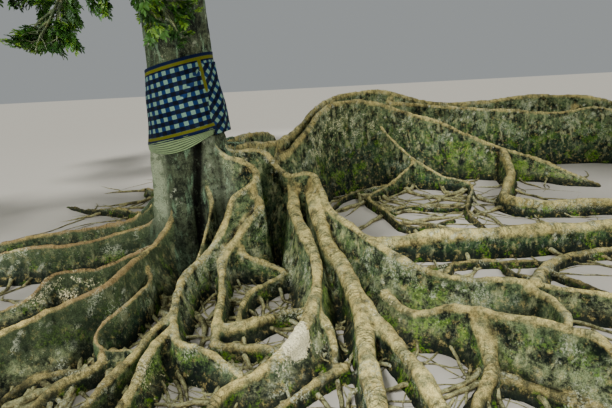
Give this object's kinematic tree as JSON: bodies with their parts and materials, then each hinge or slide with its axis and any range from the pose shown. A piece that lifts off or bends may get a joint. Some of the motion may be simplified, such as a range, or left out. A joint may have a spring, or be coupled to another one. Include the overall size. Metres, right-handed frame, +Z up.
{
  "type": "banyan tree",
  "caption": "Rooted shade tree: fluted trunk with a checked cloth round it, high wandering surface roots, and a domed crown of separate leafy masses on forked boughs.",
  "frame": {"origin": "the flat ground cut under the trunk, at the middle of the trunk", "axes": "+Z up; -Y faces the pictured side; +X runs to the right of that view, where the highest roots reach furthest"},
  "size_m": [19.9556, 18.4261, 15.5328],
  "materials": {
    "trunk_bark": "grey mottled bark with lengthwise flutes and pale lichen",
    "root_bark": "smooth grey-tan bark, lighter on the rims, green with moss on the walls",
    "bough_bark": "grey-brown bark, fine cracks",
    "cloth_checked": "woven cotton, dark and pale checks, mustard bands",
    "cloth_lining": "thin pleated cotton, pale green",
    "foliage": "small leathery leaves in sprays, mid and dark green, satin"
  },
  "bodies": {
    "root": {"bough_leader": "bough_bark", "bough_main_1": "bough_bark", "bough_main_2": "bough_bark", "bough_main_3": "bough_bark", "bough_main_4": "bough_bark", "cloth_lining": "cloth_lining", "cloth_wrap": "cloth_checked", "foliage_leader": "foliage", "foliage_low": "foliage", "foliage_outer_1": "foliage", "foliage_outer_2": "foliage", "foliage_outer_3": "foliage", "foliage_outer_4": "foliage", "foliage_outer_5": "foliage", "foliage_outer_6": "foliage", "foliage_outer_7": "foliage", "foliage_outer_8": "foliage", "foliage_upper_1": "foliage", "foliage_upper_2": "foliage", "foliage_upper_3": "foliage", "foliage_upper_4": "foliage", "limb_low": "bough_bark", "limb_outer_1": "bough_bark", "limb_outer_2": "bough_bark", "limb_outer_3": "bough_bark", "limb_outer_4": "bough_bark", "limb_outer_5": "bough_bark", "limb_outer_6": "bough_bark", "limb_outer_7": "bough_bark", "limb_outer_8": "bough_bark", "limb_upper_1": "bough_bark", "limb_upper_2": "bough_bark", "limb_upper_3": "bough_bark", "limb_upper_4": "bough_bark", "root_back_far": "root_bark", "root_back_left": "root_bark", "root_back_middle": "root_bark", "root_back_right": "root_bark", "root_back_second": "root_bark", "root_front_left": "root_bark", "root_front_long": "root_bark", "root_front_middle": "root_bark", "root_front_pillar": "root_bark", "root_front_small": "root_bark", "root_left_back": "root_bark", "root_left_long": "root_bark", "root_left_low": "root_bark", "root_left_second": "root_bark", "root_left_third": "root_bark", "root_right_elbow": "root_bark", "root_right_front": "root_bark", "root_right_log": "root_bark", "root_right_low": "root_bark", "root_right_tangle": "root_bark", "root_right_wave": "root_bark", "trunk": "trunk_bark"}
  },
  "joints": []
}
